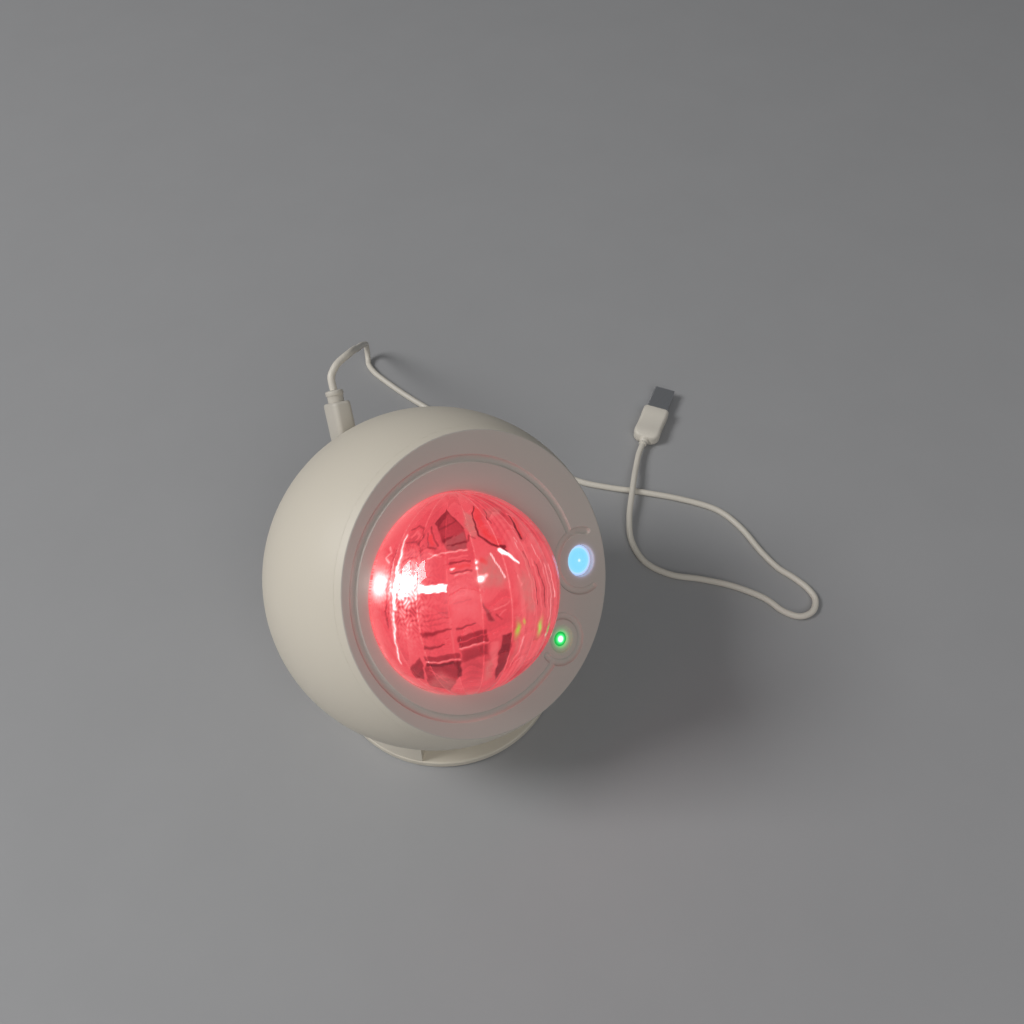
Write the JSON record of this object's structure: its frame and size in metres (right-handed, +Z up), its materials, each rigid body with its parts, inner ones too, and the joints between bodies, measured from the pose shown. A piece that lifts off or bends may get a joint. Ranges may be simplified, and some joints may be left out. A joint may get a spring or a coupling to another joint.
{
  "type": "star projector lamp",
  "caption": "Ball-shaped star projector lamp with a fluted dome lens and two small windows on a flat grooved face, lying in a low round cradle, with a USB lead.",
  "frame": {"origin": "on the table, under the middle of the round cradle and of the ball", "axes": "+Z up; the face looks towards -Y and upwards; +X to the right of someone behind the lamp's face"},
  "size_m": [0.3009, 0.3157, 0.1543],
  "materials": {
    "cream_shell": "fine matte moulding",
    "cream_face": "fine matte moulding",
    "cream_cradle": "fine matte moulding",
    "dome_pink": "clear fluted moulding lit red from inside",
    "window_blue": "clear moulding lit blue",
    "window_green": "clear grating lit green",
    "black_plastic": "plain moulding",
    "white_plastic": "plain moulding",
    "wheel_clear": "clear rippled moulding",
    "steel": "plain steel",
    "aluminium": "plain aluminium",
    "brass": "turned brass",
    "board_green": "solder mask",
    "board_white": "white solder mask",
    "emitter": "moulded emitters",
    "rubber_dark": "soft rubber",
    "rubber_pale": "soft rubber",
    "cord_cream": "satin cord jacket",
    "plug_cream": "satin overmould"
  },
  "bodies": {
    "base": {"base_cradle": "cream_cradle", "base_weight": "steel", "foot_pad": "rubber_dark", "cradle_pads": "rubber_pale", "cord_lead": "cord_cream", "cord_run": "cord_cream", "usb_a_relief": "plug_cream", "usb_a_grip": "plug_cream", "usb_a_shell": "steel", "usb_a_tongue": "white_plastic"},
    "head": {"rear_shell": "cream_shell", "front_bezel": "cream_face", "dome_lens": "dome_pink", "lens_ring": "black_plastic", "lens_screws": "steel", "nebula_lens": "window_blue", "nebula_barrel": "black_plastic", "nebula_led": "emitter", "laser_module": "brass", "laser_bush": "black_plastic", "laser_grating": "window_green", "chassis": "black_plastic", "chassis_screws": "steel", "led_board": "board_white", "led_emitters": "emitter", "heat_sink": "aluminium", "board_screws": "steel", "wheel_axle": "steel", "axle_clip": "steel", "motor": "steel", "motor_screws": "steel", "main_board": "board_green", "usb_socket": "steel", "tact_switch": "black_plastic", "plug_grip": "plug_cream", "plug_metal": "steel", "plug_relief": "plug_cream"},
    "ripple": {"ripple_wheel": "wheel_clear"},
    "pinion": {"motor_shaft": "steel", "motor_pinion": "white_plastic"},
    "button": {"power_button": "cream_shell"}
  },
  "joints": [
    {"name": "head_tilt", "type": "hinge", "parent": "base", "child": "head", "pos_m": [0, 0, 0.08], "axis": [-1, 0, 0], "range_deg": [-40, 50], "deforming": ["cord_lead"]},
    {"name": "ripple_spin", "type": "hinge", "parent": "head", "child": "ripple", "pos_m": [-0.0105, 0.00257, 0.08306], "axis": [0, -0.766, 0.6428], "continuous": true},
    {"name": "pinion_spin", "type": "hinge", "parent": "head", "child": "pinion", "pos_m": [0.03254, 0.00015, 0.08018], "axis": [0, -0.766, 0.6428], "continuous": true},
    {"name": "button_press", "type": "slide", "parent": "head", "child": "button", "axis": [0, -0.766, 0.6428], "range_m": [0, 0.0008], "stiffness_N_per_m": 600}
  ],
  "couplings": [
    {"joint": "pinion_spin", "follows": "ripple_spin", "ratio": -5}
  ]
}
